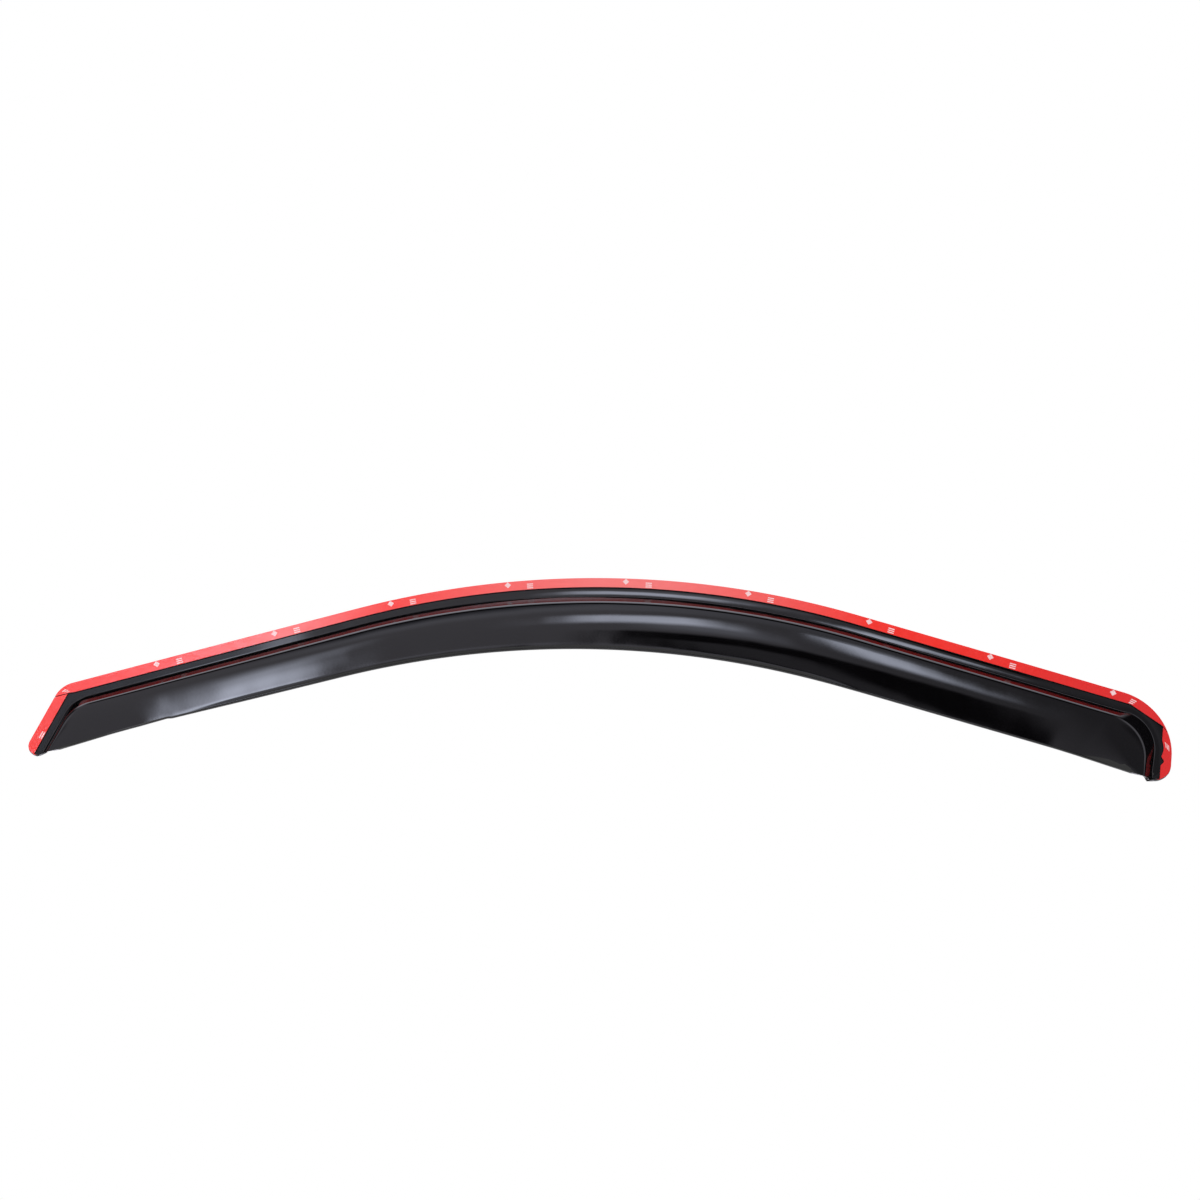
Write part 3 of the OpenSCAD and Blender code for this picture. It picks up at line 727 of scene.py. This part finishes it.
def acrylic_material():
    """Dark smoked acrylic, polished, with the faint flow and dust of a moulded sheet."""
    material, nodes, links, shader = new_material("smoked_acrylic")
    place = nodes.new("ShaderNodeTexCoord").outputs["Object"]
    cloud = noise(nodes, links, place, CLOUD_SCALE, 3.0)
    tint = colour_mix(nodes, links, cloud, *CLOUD_TINTS)
    grain = noise(nodes, links, place, DUST_SCALE, 1.0)
    dust = ramp(nodes, links, grain, *DUST_RANGE, 0.0, DUST_SHARE)
    colour = colour_mix(nodes, links, dust, tint, DUST_COLOUR)
    links.new(colour, shader.inputs["Base Color"])
    smear = noise(nodes, links, place, SMEAR_SCALE, 4.0)
    polish = ramp(nodes, links, smear, *SMEAR_RANGE, *POLISH)
    primed = nodes.new("ShaderNodeAttribute")
    primed.attribute_name = "primed"
    matt = math_node(nodes, links, "MULTIPLY", primed.outputs["Fac"], PRIMED_ROUGHNESS)
    links.new(math_node(nodes, links, "ADD", polish, matt), shader.inputs["Roughness"])
    sheen = ramp(nodes, links, primed.outputs["Fac"], 0.0, 1.0, SHEEN, PRIMED_SHEEN)
    links.new(sheen, shader.inputs["Specular IOR Level"])
    flow = noise(nodes, links, place, FLOW_SCALE, 1.0)
    peel = noise(nodes, links, place, PEEL_SCALE, 2.0)
    waves = bump(nodes, links, flow, FLOW_RELIEF)
    links.new(bump(nodes, links, peel, PEEL_RELIEF, normal=waves), shader.inputs["Normal"])
    shader.inputs["IOR"].default_value = ACRYLIC_IOR
    return material


CELL_SCALE = 3000.0
CELL_RELIEF = 0.0002
FOAM_TINTS = ((0.008, 0.008, 0.009, 1), (0.03, 0.03, 0.033, 1))
FOAM_ROUGHNESS = 0.9


def foam_material():
    material, nodes, links, shader = new_material("acrylic_foam")
    place = nodes.new("ShaderNodeTexCoord").outputs["Object"]
    cells = noise(nodes, links, place, CELL_SCALE, 3.0)
    links.new(colour_mix(nodes, links, cells, *FOAM_TINTS), shader.inputs["Base Color"])
    links.new(bump(nodes, links, cells, CELL_RELIEF), shader.inputs["Normal"])
    shader.inputs["Roughness"].default_value = FOAM_ROUGHNESS
    return material


MARK_GAP = 20.0          # from a diamond's middle to the bars'
DIAMOND = 2.9            # half its diagonal
DIAMOND_ACROSS = 3.2     # the middle of each mark, from the strip's outer edge
BARS_ACROSS = 5.6
BARS = 3
BAR_LENGTH = 5.4
BAR_WIDTH = 1.0
BAR_STEP = 1.9
LINER_REDS = ((0.95, 0.027, 0.020, 1), (1.0, 0.036, 0.026, 1))
PAINTED_SHADE_RED = (0.70, 0.012, 0.015, 1)      # painted shade: the film's red is darkened towards the rear end
PAINTED_SHADE_X = (0.30, 0.54)
# Painted sheen along the film, pale patches in its red: where each one's middle is, half its length and
# its share
PAINTED_SHEENS = ((-0.275, 0.10, 0.14), (0.035, 0.22, 0.19))
PAINTED_SHEEN_CORE = 1 / 8       # of the half length, within which it is full
PAINTED_SHEEN_COLOUR = (1.0, 0.90, 0.92, 1)
TONE_SCALE = 60.0
INK = (0.98, 0.78, 0.80, 1)
INK_SCALE = 900.0
INK_RANGE = (0.3, 0.6)
INK_SHARES = (0.55, 0.95)
FILM_SCALE = 140.0
FILM_RELIEF = 0.00006
FILM_RANGE = (0.3, 0.7)
FILM_ROUGHNESS = (0.17, 0.24)


def liner_material():
    """Red release film with pale generic marks: a diamond, then three short bars. Its red carries a
    painted sheen in two places and painted shade towards the rear end.
    """
    material, nodes, links, shader = new_material("red_liner")
    place = nodes.new("ShaderNodeAttribute")
    place.attribute_name = "strip_place"
    split = nodes.new("ShaderNodeSeparateXYZ")
    links.new(place.outputs["Vector"], split.inputs[0])
    op = short_op(nodes, links)
    along = op("MULTIPLY", split.outputs["X"], 1 / MM)
    across = op("MULTIPLY", split.outputs["Y"], 1 / MM)
    wrap = nodes.new("ShaderNodeMath")
    wrap.operation = "WRAP"
    links.new(along, wrap.inputs[0])
    wrap.inputs[1].default_value = MARK_PITCH / 2
    wrap.inputs[2].default_value = -MARK_PITCH / 2
    lap = wrap.outputs[0]
    # A diamond near the outer edge
    dx = op("ABSOLUTE", lap)
    dy = op("ABSOLUTE", op("SUBTRACT", across, DIAMOND_ACROSS))
    diamond = op("LESS_THAN", op("ADD", dx, dy), DIAMOND)
    # Bars near the inner edge
    bx = op("ABSOLUTE", op("SUBTRACT", lap, MARK_GAP))
    by = op("ABSOLUTE", op("SUBTRACT", across, BARS_ACROSS))
    near = op("LESS_THAN", bx, BAR_LENGTH / 2)
    within = op("LESS_THAN", by, BARS / 2 * BAR_STEP)
    on_bar = op("LESS_THAN", op("PINGPONG", by, BAR_STEP / 2), BAR_WIDTH / 2)
    bars = op("MULTIPLY", op("MULTIPLY", near, within), on_bar)
    object_place = nodes.new("ShaderNodeTexCoord").outputs["Object"]
    worn = noise(nodes, links, object_place, INK_SCALE)
    wear = ramp(nodes, links, worn, *INK_RANGE, *INK_SHARES)
    ink = op("MULTIPLY", op("MAXIMUM", diamond, bars), wear)
    tone = noise(nodes, links, object_place, TONE_SCALE, 3.0)
    red = colour_mix(nodes, links, tone, *LINER_REDS)
    lengthwise = nodes.new("ShaderNodeSeparateXYZ")
    links.new(object_place, lengthwise.inputs[0])
    x = lengthwise.outputs["X"]
    # Painted shade: the red is darkened along x towards the rear end
    deep = ramp(nodes, links, x, *PAINTED_SHADE_X, 0.0, 1.0)
    red = colour_mix(nodes, links, deep, red, PAINTED_SHADE_RED)
    # Painted sheen: pale patches mixed into the red at given places along x
    painted_sheen = 0.0
    for middle, half, share in PAINTED_SHEENS:
        aside = op("ABSOLUTE", op("SUBTRACT", x, middle))
        painted_sheen = op("ADD", painted_sheen, ramp(nodes, links, aside, half * PAINTED_SHEEN_CORE, half, share, 0.0))
    red = colour_mix(nodes, links, painted_sheen, red, PAINTED_SHEEN_COLOUR)
    links.new(colour_mix(nodes, links, ink, red, INK), shader.inputs["Base Color"])
    film = noise(nodes, links, object_place, FILM_SCALE, 3.0)
    links.new(ramp(nodes, links, film, *FILM_RANGE, *FILM_ROUGHNESS), shader.inputs["Roughness"])
    links.new(bump(nodes, links, film, FILM_RELIEF), shader.inputs["Normal"])
    return material


# Studio
PX = 1200
FOCAL_PX = 2200
SENSOR = 36.0
LOOK_UP = 25.0
DISTANCE = 1.9844            # to the part's origin along the view, in metres
ORIGIN_PX = (590.0, 582.5)   # where the part's origin is in the picture
NEAR_CLIP = 0.01


def make_camera():
    up_angle = math.radians(LOOK_UP)
    forward = Vector((0, math.cos(up_angle), math.sin(up_angle)))
    up = Vector((0, -math.sin(up_angle), math.cos(up_angle)))
    right = Vector((1, 0, 0))
    across = (ORIGIN_PX[0] - PX / 2) / FOCAL_PX
    above = (PX / 2 - ORIGIN_PX[1]) / FOCAL_PX
    data = bpy.data.cameras.new("camera")
    data.sensor_width = SENSOR
    data.lens = SENSOR * FOCAL_PX / PX
    data.clip_start = NEAR_CLIP
    ob = bpy.data.objects.new("camera", data)
    ob.matrix_world = Matrix((
        (right.x, up.x, -forward.x, 0),
        (right.y, up.y, -forward.y, 0),
        (right.z, up.z, -forward.z, 0),
        (0, 0, 0, 1)))
    ob.location = -(forward + right * across + up * above) * DISTANCE
    bpy.context.scene.collection.objects.link(ob)
    bpy.context.scene.camera = ob


# The studio as the gloss shows it. Directions are in degrees seen from the part: pitch turns
# from straight out over the top of the part, and yaw goes to the rear end's side.
# A lamp has: yaw at level pitch, the yaw it loses with each degree of pitch, half its
# width, the softness of its sides, pitch from, its softness, pitch to, its softness, power
LAMPS = [
    (-5.7, 0.215, 1.3, 2.0, 8, 3, 36, 14, 11.0),
    (-8.8, 0.0, 1.1, 2.4, 3, 4, 15.5, 3, 4.7),
    (-4.5, 0.0, 3.5, 2.0, -10, 5, 13, 3, 0.5),
    (-13.0, 0.0, 1.2, 1.8, 36, 3, 46, 3, 1.6),
    (1.8, 0.0, 3.2, 1.8, 37, 2.5, 45, 2, 6.0),
    (4.5, 0.0, 2.6, 1.5, 31, 3, 41, 3, 0.9),
    (13.1, 0.0, 1.5, 1.5, 35.4, 3, 48, 2.5, 7.2),
    (0.0, 0.0, 16.0, 3.0, 51, 3, 60, 2, 0.3),
]
# A dark card has: yaw from, its softness, yaw to at level pitch, the yaw that this side
# gains with each degree of pitch, its softness, pitch from, pitch to, their softness, depth
DARK_CARDS = [
    (-0.1, 0.5, 8.5, 0.2, 1.4, -20, 27.5, 1.5, 0.98),
    (-25, 4, 25, 0.0, 4, 58, 79, 2, 0.97),
]
LAMP_TINT = (0.88, 0.94, 1.14)
STUDIO_TINT = (0.99, 0.96, 1.08)
# The room is lighter on the front end's side. It falls off between two yaws.
AMBIENT_FRONT, AMBIENT_REAR = 0.86, 0.25
AMBIENT_TURNS = (0, 20)
# A grey patch below the first dark card: yaw from, yaw to, their softness, pitch from,
# pitch to, their softness, power
GREY_PATCH = (1.5, 5.5, 1.0, -20, 20, 1.2, 0.3)
# The bright table shows over the top of the part, this far away from straight out
TABLE_FROM, TABLE_SOFT = 80, 4
TABLE_POWER = 1.4
# Beyond these yaws the two ends see a dark room, with the table as a low band that runs
# from and to these angles away from straight out, with this softness. The rear end's room
# turns dark only beyond the directions that the face sees.
FRONT_END_FROM, REAR_END_FROM, ENDS_SOFT = 36, 29, 5
ENDS_BAND = (50, 68, 4)
ENDS_POWER = 1.2
FRONT_END_DARK, REAR_END_DARK = 0.15, 0.02
REAR_DARK_FROM, REAR_DARK_SOFT = 45, 3


def make_world():
    world = bpy.data.worlds.new("studio")
    bpy.context.scene.world = world
    world.use_nodes = True
    nodes, links = world.node_tree.nodes, world.node_tree.links
    background = nodes["Background"]
    split = nodes.new("ShaderNodeSeparateXYZ")
    links.new(nodes.new("ShaderNodeTexCoord").outputs["Generated"], split.inputs[0])
    x, y, z = split.outputs
    op = short_op(nodes, links)
    out = op("MULTIPLY", y, -1.0)
    pitch = op("DEGREES", op("ARCTAN2", z, out))
    yaw = op("DEGREES", op("ARCSINE", x))
    away = op("DEGREES", op("ARCCOSINE", out))

    def step(value, at, soft):
        node = nodes.new("ShaderNodeMapRange")
        node.interpolation_type = "SMOOTHSTEP"
        node.inputs["From Min"].default_value = at - soft
        node.inputs["From Max"].default_value = at + soft
        links.new(value, node.inputs["Value"])
        return node.outputs["Result"]

    def window(value, low, high, soft):
        return op("SUBTRACT", step(value, low, soft), step(value, high, soft))

    def rest_of(value):
        return op("SUBTRACT", 1.0, value)

    base = ramp(nodes, links, yaw, *AMBIENT_TURNS, AMBIENT_FRONT, AMBIENT_REAR)
    for yaw_from, from_soft, yaw_to, slant, to_soft, low, high, soft, depth in DARK_CARDS:
        along = op("SUBTRACT", yaw, op("MULTIPLY", pitch, slant))
        far_side = rest_of(step(along, yaw_to, to_soft))
        across = op("MULTIPLY", step(yaw, yaw_from, from_soft), far_side)
        dark = op("MULTIPLY", op("MULTIPLY", across, window(pitch, low, high, soft)), depth)
        base = op("MULTIPLY", base, rest_of(dark))
    yaw_from, yaw_to, yaw_soft, low, high, soft, power = GREY_PATCH
    across = window(yaw, yaw_from, yaw_to, yaw_soft)
    inside = op("MULTIPLY", across, window(pitch, low, high, soft))
    base = op("ADD", base, op("MULTIPLY", inside, power))
    rear_end = step(yaw, REAR_END_FROM, ENDS_SOFT)
    front_end = rest_of(step(yaw, -FRONT_END_FROM, ENDS_SOFT))
    ends = op("ADD", rear_end, front_end)
    beyond_face = step(away, REAR_DARK_FROM, REAR_DARK_SOFT)
    rear_fall = op("MULTIPLY", beyond_face, REAR_END_DARK - AMBIENT_REAR)
    rear_dark = op("MULTIPLY", rear_end, op("ADD", rear_fall, AMBIENT_REAR))
    ends_dark = op("ADD", rear_dark, op("MULTIPLY", front_end, FRONT_END_DARK))
    low_band = op("MULTIPLY", window(away, *ENDS_BAND), ENDS_POWER)
    over_top = op("MULTIPLY", step(away, TABLE_FROM, TABLE_SOFT), TABLE_POWER)
    base = op("ADD", op("MULTIPLY", op("ADD", base, over_top), rest_of(ends)),
              op("ADD", op("MULTIPLY", low_band, ends), ends_dark))
    lamps = 0.0
    for centre, slant, half, soft, low, low_soft, high, high_soft, power in LAMPS:
        along = op("ADD", yaw, op("MULTIPLY", pitch, slant))
        upright = op("SUBTRACT", step(pitch, low, low_soft), step(pitch, high, high_soft))
        inside = op("MULTIPLY", window(along, centre - half, centre + half, soft), upright)
        lamps = op("ADD", lamps, op("MULTIPLY", inside, power))
    tinted = nodes.new("ShaderNodeVectorMath")
    tinted.operation = "SCALE"
    tinted.inputs[0].default_value = LAMP_TINT
    links.new(lamps, tinted.inputs["Scale"])
    gloss = nodes.new("ShaderNodeVectorMath")
    gloss.operation = "MULTIPLY_ADD"
    links.new(base, gloss.inputs[0])
    gloss.inputs[1].default_value = STUDIO_TINT
    links.new(tinted.outputs[0], gloss.inputs[2])
    # Gloss sees the studio; the camera and soft light see plain white
    is_gloss = nodes.new("ShaderNodeLightPath").outputs["Is Glossy Ray"]
    seen = colour_mix(nodes, links, is_gloss, (1, 1, 1, 1), gloss.outputs[0])
    links.new(seen, background.inputs["Color"])


FLOOR_Z = -1.1
FLOOR_HALF = 6.0
FLOOR_GRAIN = 8.0
FLOOR_GREYS = ((0.90, 0.90, 0.90, 1), (0.93, 0.93, 0.93, 1))
FLOOR_ROUGHNESS = 0.8


def make_floor():
    material, nodes, links, shader = new_material("studio_floor")
    place = nodes.new("ShaderNodeTexCoord").outputs["Object"]
    grain = noise(nodes, links, place, FLOOR_GRAIN)
    links.new(colour_mix(nodes, links, grain, *FLOOR_GREYS), shader.inputs["Base Color"])
    shader.inputs["Roughness"].default_value = FLOOR_ROUGHNESS
    signs = ((-1, -1), (1, -1), (1, 1), (-1, 1))
    corners = [(FLOOR_HALF * a, FLOOR_HALF * b, FLOOR_Z) for a, b in signs]
    floor = mesh_object("floor", corners, [(0, 1, 2, 3)], material)


acrylic = acrylic_material()
foam = foam_material()
liner = liner_material()

STRIPS = [  # name, edges, where its marks start, and how far across they are shifted
    ("long", long_edges(), arc_at_x(MARK_X), 0.0),
    ("front", front_edges(), arc_from_end(FRONT_MARK_START), FRONT_MARK_SHIFT),
    ("rear", rear_edges(), arc_from_end(REAR_MARK_START), 0.0),
]
shell = make_shell(acrylic)
pieces = [(shell, "deflector_shell", "smoked_acrylic")]
for part, edges, start, shift in STRIPS:
    pieces.append((make_strip(part + "_foam_strip", edges, FOAM_Y, FOAM, foam),
                   part + "_tape", "acrylic_foam"))
    pieces.append((make_strip(part + "_red_film", edges, 0.0, LINER, liner, start, shift),
                   part + "_liner", "red_liner"))
for piece, node, slot in pieces:
    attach(piece, "root")
    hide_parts(node)

make_camera()
make_world()
make_floor()
bpy.context.scene.view_settings.view_transform = "Standard"
